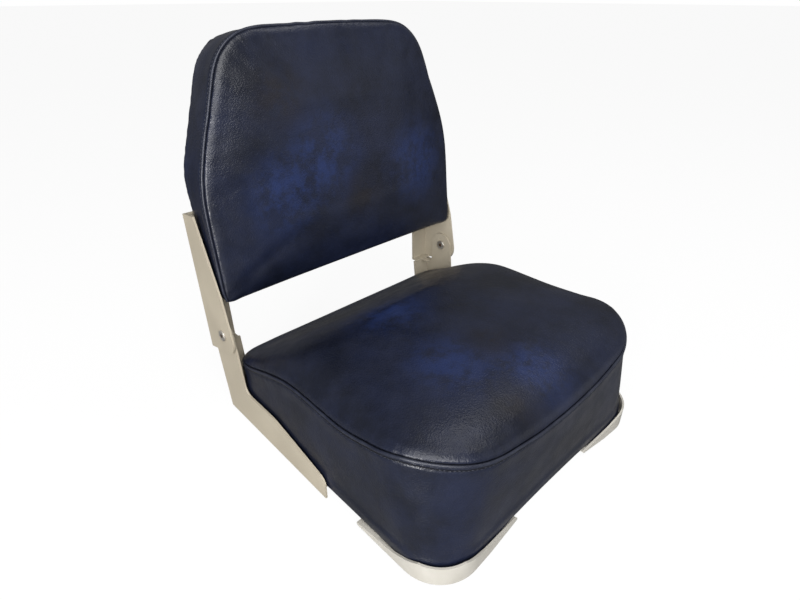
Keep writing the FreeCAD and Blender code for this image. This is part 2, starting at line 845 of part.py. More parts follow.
def build_back_cushion():
    vinyl = size("vinyl")
    placement = lean_about_pivot(size("back_recline"))
    turn = FreeCAD.Placement(
        ORIGIN,
        FreeCAD.Rotation(X_AXIS, size("back_recline") - size("upper_arm_lean")),
    )
    holes = []
    for place in upper_screw_axes():
        hole = Part.makeCylinder(size("screw_hole_radius"), FAR, place - Y_AXIS * HOLE_DEPTH, Y_AXIS)
        hole.Placement = turn.multiply(hole.Placement)
        holes.append(hole)
    room = board_room(size("board_gap"))
    room.Placement = turn.multiply(room.Placement)

    foam_inset = vinyl + size("foam_gap")
    rear = back_rear_loops(foam_inset)
    crown = back_crown_loops(foam_inset, 0)
    foam_faces = [flat_face(rear[0]), flat_face(crown[-1])]
    foam_faces += skin_of(rear) + skin_of(back_band_loops(foam_inset, 0)) + skin_of(crown)
    foam = sewn_solid(foam_faces).cut([room] + holes)
    new_piece("back_foam", only_solid(foam), placement)

    seam_gap = size("seam_gap")
    outer = back_crown_loops(0, seam_gap)
    inner = back_crown_loops(vinyl, seam_gap)
    front_faces = [flat_face(outer[-1]), flat_face(inner[-1])]
    front_faces += skin_of(outer) + skin_of(inner) + strip_between(outer[0], inner[0])
    new_piece("back_front_cover", sewn_solid(front_faces), placement)

    outer = back_band_loops(0, seam_gap)
    inner = back_band_loops(vinyl, seam_gap)
    band_faces = skin_of(outer) + skin_of(inner)
    band_faces += strip_between(outer[0], inner[0]) + strip_between(outer[-1], inner[-1])
    new_piece("back_side_band", sewn_solid(band_faces), placement)

    outer = back_rear_loops(0)
    inner = back_rear_loops(vinyl)
    rear_faces = [flat_face(outer[0]), flat_face(inner[0])]
    rear_faces += skin_of(outer) + skin_of(inner) + strip_between(outer[-1], inner[-1])
    new_piece("back_rear_cover", only_solid(sewn_solid(rear_faces).cut(holes)), placement)

    loop = back_outline(-size("welt_radius") - size("welt_gap"))
    cord_end = ARC_POINTS // 2
    cord_start = ARC_POINTS + LINE_POINTS - 1 + cord_end
    path = [back_point(point, -size("back_welt_front")) for point in loop[cord_start:] + loop[:cord_end]]
    new_piece("back_welt", tube_along(path, size("welt_radius"), Y_AXIS, False), placement)


BOARD_HALF = "(seat_half - board_side_inset)"
BOARD_HALF_TOP = "(seat_half - back_top_tuck - board_top_side_inset)"
BOARD_BOTTOM = "back_bottom + board_bottom_inset"
BOARD_SHOULDER = "back_knee - board_shoulder_drop"
BOARD_TOP = "back_top - board_top_inset"
BOARD_CORNERS = [
    (f"-{BOARD_HALF}", BOARD_BOTTOM),
    (BOARD_HALF, BOARD_BOTTOM),
    (BOARD_HALF, BOARD_SHOULDER),
    (BOARD_HALF_TOP, BOARD_TOP),
    (f"-{BOARD_HALF_TOP}", BOARD_TOP),
    (f"-{BOARD_HALF}", BOARD_SHOULDER),
]
BOARD_REAR = "(upper_arm_rear - sheet_thick - back_arm_gap - vinyl - board_foam - board_gap)"


def board_room(margin):
    """Room for the board in the frame of the upper arms, grown by a margin."""
    corners = [Vector(number_of(across), number_of(up), 0) for across, up in BOARD_CORNERS]
    rear = number_of(BOARD_REAR) + margin
    loop = [Vector(point.x, rear, point.y) for point in offset_corners(corners, -margin)]
    face = Part.Face(Part.makePolygon(loop + loop[:1]))
    return face.extrude(-Y_AXIS * (size("board_thick") + 2 * margin))


# Pan, with its feet and mounting holes


def half_at(along):
    """Half width of the seat's hem at a place along Y, as an expression."""
    return f"({FRONT_HALF} + ({along} + seat_front) * seat_front_tuck / (seat_front + seat_rear))"


def build_pan():
    body = new_body("seat_pan")
    edge = "(vinyl + deck_edge_gap)"
    deck_front = f"-(seat_front - {edge})"
    deck_corners = [
        (f"-({FRONT_HALF} - {edge})", deck_front),
        (f"-{FRONT_HALF} / 2", f"{deck_front} + seat_hem_draw"),
        (f"{FRONT_HALF} / 2", f"{deck_front} + seat_hem_draw"),
        (f"{FRONT_HALF} - {edge}", deck_front),
        (f"seat_half - {edge}", f"seat_rear - {edge}"),
        (f"-(seat_half - {edge})", f"seat_rear - {edge}"),
    ]
    deck_radii = {
        0: f"seat_corner_low - {edge}",
        3: f"seat_corner_low - {edge}",
        4: f"seat_corner_rear - {edge}",
        5: f"seat_corner_rear - {edge}",
    }
    deck = polygon_sketch(body, "deck_outline", "XY_Plane", "deck_under", deck_corners, deck_radii)
    pad(body, "deck", deck, "deck_thick")

    half_pad = "pad_size / 2"
    pad_corners = [
        (f"-{half_pad}", f"-{half_pad}"),
        (half_pad, f"-{half_pad}"),
        (half_pad, half_pad),
        (f"-{half_pad}", half_pad),
    ]
    pad(
        body,
        "mounting_pad",
        polygon_sketch(body, "mounting_pad_outline", "XY_Plane", "0", pad_corners),
        "deck_under",
    )

    ahead = f"({PIVOT_BACK} - arm_pad_length)"
    rear = "(seat_rear - hem_width - foot_gap)"
    pad_outer = f"({half_at(ahead)} - hem_width - foot_gap)"
    pad_round = {2: "level_radius_min - foot_gap"}
    arm_top = "(lower_arm_bottom + sheet_thick)"
    for name, side in SIDES.items():
        across = [f"{side} * ({pad_outer} - arm_pad_width)", f"{side} * {pad_outer}"]
        corners = [(across[0], ahead), (across[1], ahead), (across[1], rear), (across[0], rear)]
        outline = polygon_sketch(body, f"arm_pad_{name}_outline", "XY_Plane", arm_top, corners, pad_round)
        pad(body, f"arm_pad_{name}", outline, f"deck_under - {arm_top}")
        join_foot(body, build_foot(name, side))

    outer = f"({pad_outer} - arm_pad_width - foot_gap)"
    for name, side in SIDES.items():
        across = [f"{side} * ({outer} - rear_foot_size)", f"{side} * {outer}"]
        ahead = f"({rear} - rear_foot_size)"
        corners = [(across[0], ahead), (across[1], ahead), (across[1], rear), (across[0], rear)]
        pad(
            body,
            f"rear_foot_{name}",
            polygon_sketch(body, f"rear_foot_{name}_outline", "XY_Plane", "0", corners),
            "deck_under",
        )

    half_spacing = "bolt_spacing / 2"
    centres = [
        (f"{across} * {half_spacing}", f"{along} * {half_spacing}") for across in (-1, 1) for along in (-1, 1)
    ]
    for name, offset, radius, length in (
        ("bolt_holes", "0", "bolt_hole_radius", DECK_TOP),
        ("barrel_holes", "bolt_ledge", "tnut_barrel_radius", DECK_TOP),
        ("flange_seats", f"{DECK_TOP} - tnut_flange_thick", "tnut_flange_radius", "tnut_flange_thick"),
    ):
        pocket(body, name, circles_sketch(body, f"{name}_circles", "XY_Plane", offset, centres, radius), length)

    screw_centres = []
    for side in (MINUS_X, PLUS_X):
        for along in lower_screw_places():
            screw_centres.append((f"{side} * ({LOWER_FLANGE_INNER} + screw_edge)", f"{PIVOT_BACK} + ({along})"))
    circles = circles_sketch(body, "screw_holes_circles", "XY_Plane", arm_top, screw_centres, "screw_radius")
    pocket(body, "screw_holes", circles, "lower_screw_length - sheet_thick")
    finish_body(body)


FOOT_FRONT_END = f"({FRONT_HALF} - foot_reach_front)"
FOOT_SIDE_END = "(foot_reach_side - seat_front)"


def foot_path(side, depth):
    """Front end, corner and side end of a foot's outline, a depth outside the cushion's hem."""
    front = f"(-seat_front - ({depth}))"
    draw = f"seat_hem_draw * (1 - ({FOOT_FRONT_END} / {FRONT_HALF})^2)"
    return [
        (f"{side} * {FOOT_FRONT_END}", f"({front} + {draw})"),
        (f"{side} * ({half_at('-seat_front')} + ({depth}))", front),
        (f"{side} * ({half_at(FOOT_SIDE_END)} + ({depth}))", FOOT_SIDE_END),
    ]


def foot_layer(body, label, side, height, outer, inner):
    """One layer of a foot between two depths, from the floor to a height."""
    corners = foot_path(side, outer) + foot_path(side, inner)[::-1]
    radii = {1: f"foot_corner_radius + ({outer})", 4: f"foot_corner_radius + ({inner})"}
    return pad(body, label, polygon_sketch(body, f"{label}_outline", "XY_Plane", "0", corners, radii), height)


def foot_cut(body, label, plane, start, reach, corners, radii=None):
    """Slopes a foot's edge by a profile that is drawn on one of the upright planes."""
    sketch = polygon_sketch(body, f"{label}_profile", plane, start, corners, radii)
    pocket(body, label, sketch, reach)


def build_foot(name, side):
    """One front corner foot: a slab, the wall that wraps the cushion's corner, and a block."""
    body = new_body(f"foot_{name}")
    outer = "foot_gap + foot_wall"
    block_outer = "-(hem_width + foot_block_gap)"
    slab_height = "deck_under - vinyl - foot_plate_gap"
    foot_layer(body, "slab", side, slab_height, outer, f"{block_outer} - foot_block_depth / 2")
    wall = foot_layer(body, "wall", side, "foot_height", outer, "foot_gap")

    ends = [Vector(number_of(across), number_of(along), 0) for across, along in foot_path(side, outer)[:2]]
    probe = ends[0] + (ends[1] - ends[0]).normalize() * FOOT_PROBE
    draft = body.newObject("PartDesign::Chamfer", "draft")
    draft.Base = (wall, [edge_at(wall.Shape, probe)])
    draft.ChamferType = "Two distances"
    draft.setExpression("Size", bind("foot_draft_height"))
    draft.setExpression("Size2", bind("foot_draft"))
    document.recompute()

    span = "2 * seat_half"
    across = web_offset(side, "0", span)
    knee_radius = {2: "foot_knee_radius"}
    side_top = [
        (FOOT_SIDE_END, "foot_height"),
        (FOOT_SIDE_END, "foot_side_end_height"),
        (f"{FOOT_SIDE_END} - foot_knee_length", "foot_side_knee_height"),
        (f"{FOOT_SIDE_END} - foot_slope_length", "foot_height"),
    ]
    foot_cut(body, "side_top_cut", "YZ_Plane", across, span, side_top, knee_radius)
    side_under = [
        (FOOT_SIDE_END, "0"),
        (FOOT_SIDE_END, "foot_side_lift"),
        (f"{FOOT_SIDE_END} - foot_side_lift_length", "0"),
    ]
    foot_cut(body, "side_under_cut", "YZ_Plane", across, span, side_under)
    front_top = [
        (f"{side} * {FOOT_FRONT_END}", "foot_height"),
        (f"{side} * {FOOT_FRONT_END}", "foot_front_end_height"),
        (f"{side} * ({FOOT_FRONT_END} + foot_knee_length)", "foot_front_knee_height"),
        (f"{side} * ({FOOT_FRONT_END} + foot_slope_length)", "foot_height"),
    ]
    foot_cut(body, "front_top_cut", "XZ_Plane", "0", "2 * seat_front", front_top, knee_radius)
    front_under = [
        (f"{side} * {FOOT_FRONT_END}", "0"),
        (f"{side} * {FOOT_FRONT_END}", "foot_front_lift"),
        (f"{side} * ({FOOT_FRONT_END} + foot_front_lift_length)", "0"),
    ]
    foot_cut(body, "front_under_cut", "XZ_Plane", "0", "2 * seat_front", front_under)
    foot_layer(body, "block", side, "deck_under", block_outer, f"{block_outer} - foot_block_depth")
    return body


def join_foot(body, foot):
    """Joins a foot to the pan that it is moulded with."""
    joint = body.newObject("PartDesign::Boolean", f"{foot.Label}_joint")
    joint.Type = "Fuse"
    joint.addObject(foot)
    document.recompute()


# Hinge arms


def build_lower_arm(name, side):
    body = new_body(f"lower_arm_{name}")
    tip = "-lower_arm_reach"
    shoulder = "-lower_arm_shoulder_drop"
    web_corners = [
        ("lower_arm_heel", LOWER_BOTTOM),
        ("lower_arm_upright_rear", shoulder),
        ("lower_arm_neck", shoulder),
        ("ear_radius", "0"),
        ("-ear_radius", "0"),
        ("-lower_arm_upright_front", f"{LOWER_BOTTOM} + lower_arm_leg_height"),
        ("-lower_arm_leg_flat", f"{LOWER_BOTTOM} + lower_arm_leg_height"),
        (tip, f"{LOWER_BOTTOM} + lower_arm_tip_height"),
        (tip, LOWER_BOTTOM),
    ]
    web_start = web_offset(side, WEB_INNER, LOWER_WEB_OUTER)
    web = pad(
        body,
        "web",
        polygon_sketch(body, "web_outline", "YZ_Plane", web_start, web_corners),
        "sheet_thick",
    )
    for label, corner, radius in (
        ("tip_corner", web_corners[7], "lower_arm_tip_radius"),
        ("inner_corner", web_corners[5], "lower_arm_inner_radius"),
        ("leg_bend", web_corners[6], "lower_arm_leg_height"),
    ):
        place = [Vector(0, number_of(corner[0]), number_of(corner[1]))]
        web = round_edges(body, label, web, edges_along(web.Shape, X_AXIS, place), radius)
    pad(
        body,
        "ear",
        circles_sketch(body, "ear_circle", "YZ_Plane", web_start, [("0", "0")], "ear_radius"),
        "sheet_thick",
    )
    flange_start = web_offset(side, LOWER_FLANGE_INNER, LOWER_WEB_OUTER)
    bottom_corners = [
        ("lower_arm_heel", LOWER_BOTTOM),
        ("lower_arm_heel", f"{LOWER_BOTTOM} + sheet_thick"),
        (f"{tip} + lower_arm_tip_radius", f"{LOWER_BOTTOM} + sheet_thick"),
        (f"{tip} + lower_arm_tip_radius", LOWER_BOTTOM),
    ]
    pad(
        body,
        "bottom_flange",
        polygon_sketch(body, "bottom_flange_outline", "YZ_Plane", flange_start, bottom_corners),
        "flange_width",
    )
    rear_corners = [
        ("lower_arm_heel", LOWER_BOTTOM),
        ("lower_arm_upright_rear", shoulder),
        ("lower_arm_upright_rear - sheet_thick", shoulder),
        ("lower_arm_heel - sheet_thick", LOWER_BOTTOM),
    ]
    pad(
        body,
        "rear_flange",
        polygon_sketch(body, "rear_flange_outline", "YZ_Plane", flange_start, rear_corners),
        "flange_width",
    )
    hole = circles_sketch(body, "pivot_hole_circle", "YZ_Plane", web_start, [("0", "0")], "rivet_radius")
    pocket(body, "pivot_hole", hole, "sheet_thick")
    across = f"{side} * ({LOWER_FLANGE_INNER} + screw_edge)"
    centres = [(across, along) for along in lower_screw_places()]
    holes = circles_sketch(body, "screw_holes_circles", "XY_Plane", LOWER_BOTTOM, centres, "screw_hole_radius")
    pocket(body, "screw_holes", holes, "sheet_thick")
    finish_body(body, lean_about_pivot(0))


def build_upper_arm(name, side):
    body = new_body(f"upper_arm_{name}")
    rear = "upper_arm_rear"
    web_corners = [
        (rear, "-upper_arm_tail_rear_drop"),
        (rear, "upper_arm_top"),
        ("upper_arm_top_front", "upper_arm_top + upper_arm_top_slope"),
        ("-upper_arm_waist_front", "upper_arm_waist"),
        ("-upper_arm_tail_front", "0"),
        ("-upper_arm_tail_front", "-upper_arm_tail_bottom"),
        ("0", "-upper_arm_tail_bottom"),
    ]
    web_start = web_offset(side, UPPER_WEB_INNER, UPPER_WEB_OUTER)
    web = pad(
        body,
        "web",
        polygon_sketch(body, "web_outline", "YZ_Plane", web_start, web_corners),
        "sheet_thick",
    )
    place = [Vector(0, number_of(web_corners[5][0]), number_of(web_corners[5][1]))]
    round_edges(body, "tail_corner", web, edges_along(web.Shape, X_AXIS, place), "upper_arm_tail_radius")
    flange_start = web_offset(side, UPPER_FLANGE_INNER, UPPER_WEB_OUTER)
    lean_drop = "lower_arm_upright_rear * sin(upper_arm_lean)"
    lip_under = f"(stop_gap - lower_arm_shoulder_drop + {lean_drop})"
    flange_corners = [
        (rear, lip_under),
        (rear, "upper_arm_top"),
        (f"{rear} - sheet_thick", "upper_arm_top"),
        (f"{rear} - sheet_thick", f"{lip_under} + sheet_thick"),
        (f"{rear} - stop_lip_reach", f"{lip_under} + sheet_thick"),
        (f"{rear} - stop_lip_reach", lip_under),
    ]
    pad(
        body,
        "rear_flange",
        polygon_sketch(body, "rear_flange_outline", "YZ_Plane", flange_start, flange_corners),
        "flange_width",
    )
    tooth_outer = f"({WEB_INNER} - stop_tooth_inset)"
    tooth_inner = f"({tooth_outer} - stop_tooth_width)"
    tooth_corners = [
        (f"{rear} - sheet_thick", lip_under),
        (f"{rear} - sheet_thick", f"{lip_under} + sheet_thick"),
        (f"{rear} - stop_lip_reach - stop_tooth_reach", f"{lip_under} + sheet_thick"),
        (f"{rear} - stop_lip_reach - stop_tooth_reach", lip_under),
    ]
    tooth_start = web_offset(side, tooth_inner, tooth_outer)
    pad(
        body,
        "stop_tooth",
        polygon_sketch(body, "stop_tooth_outline", "YZ_Plane", tooth_start, tooth_corners),
        "stop_tooth_width",
    )
    hole_radius = "rivet_radius + rivet_play"
    hole = circles_sketch(body, "pivot_hole_circle", "YZ_Plane", web_start, [("0", "0")], hole_radius)
    pocket(body, "pivot_hole", hole, "sheet_thick")
    across = f"{side} * ({UPPER_FLANGE_INNER} + screw_edge)"
    centres = [(across, up) for up in upper_screw_places()]
    holes = circles_sketch(body, "screw_holes_circles", "XZ_Plane", f"-{rear}", centres, "screw_hole_radius")
    pocket(body, "screw_holes", holes, "sheet_thick")
    finish_body(body, lean_about_pivot(size("upper_arm_lean")))


# Pivots


def build_rivet(name, side):
    body = new_body(f"pivot_rivet_{name}")
    inner_face = f"({WEB_INNER} - rivet_head_thick)"
    outer_face = f"({UPPER_WEB_OUTER} + rivet_play + rivet_head_thick)"
    steps = (
        ("shank", WEB_INNER, f"({UPPER_WEB_OUTER} + rivet_play)", "rivet_radius"),
        ("inner_head", inner_face, WEB_INNER, "rivet_head_radius"),
        ("outer_head", f"({UPPER_WEB_OUTER} + rivet_play)", outer_face, "rivet_head_radius"),
    )
    feature = None
    for label, inner, outer, radius in steps:
        start = web_offset(side, inner, outer)
        circle = circles_sketch(body, f"{label}_circle", "YZ_Plane", start, [("0", "0")], radius)
        feature = pad(body, label, circle, f"({outer}) - ({inner})")
    rims = []
    for face in (inner_face, outer_face):
        centre = Vector(side * number_of(face), 0, 0)
        rims += circular_edges(feature.Shape, size("rivet_head_radius"), centre)
    round_edges(body, "head_rims", feature, rims, "rivet_edge")
    for label, inner, outer in (
        ("inner_bore", inner_face, f"({inner_face} + rivet_bore_depth)"),
        ("outer_bore", f"({outer_face} - rivet_bore_depth)", outer_face),
    ):
        start = web_offset(side, inner, outer)
        circle = circles_sketch(body, f"{label}_circle", "YZ_Plane", start, [("0", "0")], "rivet_bore_radius")
        pocket(body, label, circle, "rivet_bore_depth")
    finish_body(body, lean_about_pivot(0))


def build_washer(name, side):
    body = new_body(f"pivot_washer_{name}")
    start = web_offset(side, LOWER_WEB_OUTER, f"{UPPER_WEB_INNER} - rivet_play")
    disc = circles_sketch(body, "disc_circle", "YZ_Plane", start, [("0", "0")], "washer_radius")
    pad(body, "disc", disc, "washer_thick - rivet_play")
    hole = circles_sketch(body, "bore_circle", "YZ_Plane", start, [("0", "0")], "rivet_radius")
    pocket(body, "bore", hole, "washer_thick")
    finish_body(body, lean_about_pivot(0))


# Fasteners


def screw_solid(place, inward, length):
    """A screw whose head seats at a place and whose shank runs inward."""
    head_thick = size("screw_head_thick")
    head = Part.makeCylinder(size("screw_head_radius"), head_thick, place - inward * head_thick, inward)
    shank = Part.makeCylinder(size("screw_radius"), length, place, inward)
    return head.fuse(shank).removeSplitter()


def build_screws():
    across = number_of(f"{LOWER_FLANGE_INNER} + screw_edge")
    lower = []
    for side in (MINUS_X, PLUS_X):
        for expression in lower_screw_places():
            along = number_of(f"{PIVOT_BACK} + ({expression})")
            place = Vector(side * across, along, size("lower_arm_bottom"))
            lower.append(only_solid(screw_solid(place, Z_AXIS, size("lower_screw_length"))))
    new_piece("lower_arm_screws", Part.makeCompound(lower))
    upper = []
    for place in upper_screw_axes():
        upper.append(only_solid(screw_solid(place, -Y_AXIS, size("upper_screw_length"))))
    new_piece("upper_arm_screws", Part.makeCompound(upper), lean_about_pivot(size("upper_arm_lean")))


def build_tnuts():
    top = number_of(DECK_TOP)
    flange = size("tnut_flange_thick")
    ledge = size("bolt_ledge")
    nuts = []
    for across in (-1, 1):
        for along in (-1, 1):
            place = Vector(across * size("bolt_spacing") / 2, along * size("bolt_spacing") / 2, 0)
            barrel = Part.makeCylinder(size("tnut_barrel_radius"), top - ledge, place + Z_AXIS * ledge)
            disc = Part.makeCylinder(size("tnut_flange_radius"), flange, place + Z_AXIS * (top - flange))
            bore = Part.makeCylinder(size("tnut_bore_radius"), top, place)
            nuts.append(only_solid(barrel.fuse(disc).removeSplitter().cut(bore)))
    new_piece("mount_tnuts", Part.makeCompound(nuts))


def build_board():
    body = new_body("back_board")
    sketch = polygon_sketch(body, "board_outline", "XZ_Plane", f"-{BOARD_REAR}", BOARD_CORNERS)
    pad(body, "board", sketch, "board_thick")
    centres = []
    for side in (MINUS_X, PLUS_X):
        for up in upper_screw_places():
            centres.append((f"{side} * ({UPPER_FLANGE_INNER} + screw_edge)", up))
    holes = circles_sketch(body, "screw_holes_circles", "XZ_Plane", f"-{BOARD_REAR}", centres, "screw_radius")
    pocket(body, "screw_holes", holes, "board_thick")
    finish_body(body, lean_about_pivot(size("upper_arm_lean")))


build_pan()
build_tnuts()
build_seat_cushion()
for arm_name, arm_side in SIDES.items():
    build_lower_arm(arm_name, arm_side)
    build_upper_arm(arm_name, arm_side)
    build_rivet(arm_name, arm_side)
    build_washer(arm_name, arm_side)
build_screws()
build_board()
build_back_cushion()

document.recompute()
for item in document.Objects:
    if "Invalid" in item.State or "Error" in item.State:
        raise RuntimeError(f"{item.Label} did not compute: {item.State}")
os.makedirs("parts", exist_ok=True)
for piece in pieces:
    shape = piece.Shape
    if shape.isNull() or not shape.isValid():
        raise RuntimeError(f"{piece.Label} has no valid shape")
    shape.exportStep(os.path.join("parts", f"{piece.Label}.step"))
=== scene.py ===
import json
import math

import bpy
import numpy as np
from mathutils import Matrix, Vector
from mathutils.bvhtree import BVHTree
from mathutils.kdtree import KDTree


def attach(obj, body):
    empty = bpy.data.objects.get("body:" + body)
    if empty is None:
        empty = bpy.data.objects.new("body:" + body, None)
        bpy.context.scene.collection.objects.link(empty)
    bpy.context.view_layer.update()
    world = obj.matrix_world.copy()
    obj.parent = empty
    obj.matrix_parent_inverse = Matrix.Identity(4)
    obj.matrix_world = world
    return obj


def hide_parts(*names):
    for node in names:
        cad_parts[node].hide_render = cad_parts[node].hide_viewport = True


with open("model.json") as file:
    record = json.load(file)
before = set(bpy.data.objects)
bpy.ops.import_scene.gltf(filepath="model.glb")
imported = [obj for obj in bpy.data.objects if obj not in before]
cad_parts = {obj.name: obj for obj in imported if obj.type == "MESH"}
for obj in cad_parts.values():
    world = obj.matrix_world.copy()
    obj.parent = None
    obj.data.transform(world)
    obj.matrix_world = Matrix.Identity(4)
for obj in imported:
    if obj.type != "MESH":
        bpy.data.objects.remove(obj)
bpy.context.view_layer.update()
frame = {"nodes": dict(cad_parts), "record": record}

# Camera, read from the photograph in metres and degrees
CAMERA_PLACE = (-0.42084, -0.37550, 0.50911)
CAMERA_TURN_DEG = (59.66, 0.0, -43.30)
CAMERA_LENS_MM = 23.65
CAMERA_SENSOR_MM = 36.0

# Cushion making, in metres
SEAT_VOXEL = 0.0045
BACK_VOXEL = 0.0042
START_SHRINK = 0.0018
SWELL_CAP = 0.0028
CLOTH_FRAMES = 20
CLOTH_PRESSURE = 4.0
HEM_TOP = 0.030
LAY_REACH = 0.006
FOAM_FILL = 0.0012
SEAM_BINS = 240
SEAM_HOLD = 0.006
SEAM_EASE = 0.014
CALM_ROUNDS = 4
SEAM_FINE = 0.014
SEAM_STEP = 0.001
SEAM_DEPTH = 0.0020
ROLL_HEIGHT = 0.022
ROLL_ROUNDS = 14

# Seam pressing: hills as a place from the seam line and a width, in metres
FOLD_HILL = (0.0012, 0.0022)
PUFF_HILL = (0.011, 0.007)
PUFF_SHARE = 0.35
STITCH_SHARE = 0.5
STITCH_DIP = 0.0016

# Puckers along a seam: waves and slower spells as radians to the metre and a start
PUCKER_WAVES = ((420, 0.0), (263, 1.7), (611, 0.6))
PUCKER_SPELLS = ((31, 0.9), (17, 2.1))
PUCKER_HEIGHT = 0.00012
PUCKER_REACH = 0.010

# Hinge line of the arms (y, z) and the stained middle of its rivets, in metres
HINGE_LINE = (0.180, 0.134)
RIVET_BORE = 0.0032

# Studio: the floor's tone in reflections, its tone to the camera and the share of plain white there
SKY_STRENGTH = 0.22
FLOOR_TONE = 0.20
FLOOR_SEEN = 0.95
FLOOR_WHITE = 0.93

# Lights: name, place, target, size in metres, power in watts
LIGHTS = (
    ("key_light", (-0.9, -1.1, 2.2), (0.0, 0.0, 0.2), (1.6, 1.6), 42.0),
    ("left_light", (-1.7, -0.75, 0.40), (0.0, 0.05, 0.3), (0.36, 1.1), 40.0),
    ("front_light", (-0.8, -1.7, 1.1), (-0.1, -0.2, 0.15), (1.0, 0.6), 18.0),
    ("right_light", (0.75, -0.25, 1.9), (0.0, -0.15, 0.15), (0.7, 0.7), 4.5),
    ("fill_light", (1.3, -1.7, 0.6), (0.0, 0.15, 0.3), (1.2, 1.2), 2.2),
)

# Mottle of the vinyl: linear colours, and clouds as a place and a reach in metres
NAVY_DARK = (0.0032, 0.0046, 0.0112)
NAVY = (0.0084, 0.0116, 0.0285)
NAVY_BLUE = (0.0120, 0.0240, 0.0880)
NAVY_BROWN = (0.0085, 0.0068, 0.0070)
BLUE_CLOUDS = (
    ((-0.041, 0.169, 0.330), 0.085),
    ((-0.104, 0.166, 0.298), 0.070),
    ((0.120, 0.166, 0.298), 0.080),
    ((-0.068, -0.083, 0.163), 0.075),
    ((-0.005, -0.143, 0.163), 0.070),
    ((-0.049, 0.046, 0.163), 0.080),
)
BROWN_CLOUDS = (
    ((-0.088, 0.177, 0.409), 0.055),
    ((0.015, 0.164, 0.275), 0.050),
    ((-0.007, -0.084, 0.163), 0.045),
    ((-0.057, -0.163, 0.163), 0.045),
)

# Painted light across a seam: painted shade in the fold beside the piping and along the stitch line, and a
# painted highlight on the strip between them; place from the seam line and width in metres, share, linear
# colour
SEAM_PAINTED_LIGHT = (
    (0.0022, 0.0022, 0.9, (0.0012, 0.0014, 0.0025)),
    (-0.0016, 0.0016, 0.5, (0.0260, 0.0300, 0.0420)),
    (-0.0050, 0.0018, 0.8, (0.0016, 0.0018, 0.0032)),
)

# Seam dressing, in metres
PIPING_RADIUS = 0.0017
PIPING_STEP = 0.008
PIPING_IN = 0.0022
PIPING_DOWN = 0.0010
STITCH_PITCH = 0.0046
STITCH_LENGTH = 0.0032
STITCH_THICK = 0.0005
STITCH_BELOW = 0.0052


# Small helpers


def deselect():
    bpy.ops.object.select_all(action="DESELECT")


def activate(piece):
    """Selects one piece alone."""
    deselect()
    piece.select_set(True)
    bpy.context.view_layer.objects.active = piece


def points_of(piece):
    """Vertex places of a piece, one row each."""
    mesh = piece.data
    flat = np.empty(len(mesh.vertices) * 3)
    mesh.vertices.foreach_get("co", flat)
    return flat.reshape(-1, 3)


def normals_of(piece):
    mesh = piece.data
    flat = np.empty(len(mesh.vertices) * 3)
    mesh.vertex_normals.foreach_get("vector", flat)
    return flat.reshape(-1, 3)


def put_points(piece, points):
    piece.data.vertices.foreach_set("co", np.ascontiguousarray(points).ravel())
    piece.data.update()


def keep_value(piece, name, values):
    """Stores one number per vertex for a material to read."""
    attribute = piece.data.attributes.new(name, "FLOAT", "POINT")
    attribute.data.foreach_set("value", np.ascontiguousarray(values, dtype=np.float32))


def hill(value, middle, width):
    return np.exp(-(((value - middle) / width) ** 2))


# Seam lines, read from the piping of the frame


def seam_line(node, middle, first, second, closed):
    """Evenly spaced points along the middle of a piping node; an open one runs from end to end."""
    places = points_of(frame["nodes"][node])
    turn = np.arctan2(places[:, second] - middle[second], places[:, first] - middle[first])
    bins = ((turn + math.pi) / (2 * math.pi) * SEAM_BINS).astype(int) % SEAM_BINS
    filled = [step for step in range(SEAM_BINS) if (bins == step).any()]
    if not closed:
        start = int(np.argmax(np.diff(filled + [filled[0] + SEAM_BINS]))) + 1
        filled = filled[start:] + filled[:start]
    line = np.array([places[bins == step].mean(axis=0) for step in filled])
    for _ in range(2):
        softer = 0.5 * line + 0.25 * (np.roll(line, 1, axis=0) + np.roll(line, -1, axis=0))
        if not closed:
            softer[[0, -1]] = line[[0, -1]]
        line = softer
    return even_line(line, SEAM_STEP, closed)


def even_line(line, step, closed):
    """The same line with points a step apart."""
    route = np.vstack([line, line[:1]]) if closed else line
    reach = np.concatenate([[0.0], np.cumsum(np.linalg.norm(np.diff(route, axis=0), axis=1))])
    count = int(round(reach[-1] / step))
    places = np.linspace(0.0, reach[-1], count, endpoint=not closed)
    return np.column_stack([np.interp(places, reach, route[:, axis]) for axis in range(3)])


def ahead_of(line, closed):
    """Unit direction along a line at each of its points."""
    if closed:
        around = np.vstack([line[-3:], line, line[:3]])
    else:
        around = np.vstack([line[:1]] * 3 + [line] + [line[-1:]] * 3)
    ahead = around[6:] - around[:-6]
    return ahead / np.linalg.norm(ahead, axis=1, keepdims=True)


def seam_reach(points, line, towards_panel):
    """Distance of each point to a seam, positive on the panel's side, and the place along the seam."""
    tree = KDTree(len(line))
    for index, place in enumerate(line):
        tree.insert(place, index)
    tree.balance()
    distance = np.empty(len(points))
    along = np.empty(len(points), dtype=int)
    for row, point in enumerate(points):
        _, along[row], distance[row] = tree.find(point)
    away = points - line[along]
    side = np.where((away * towards_panel[along]).sum(axis=1) > 0, 1.0, -1.0)
    return distance * side, along


# Cushions


def join_corners(piece):
    """Joins the corners of a piece's faces where they meet."""
    activate(piece)
    bpy.ops.object.mode_set(mode="EDIT")
    bpy.ops.mesh.select_all(action="SELECT")
    bpy.ops.mesh.remove_doubles(threshold=0.00001)
    bpy.ops.object.mode_set(mode="OBJECT")


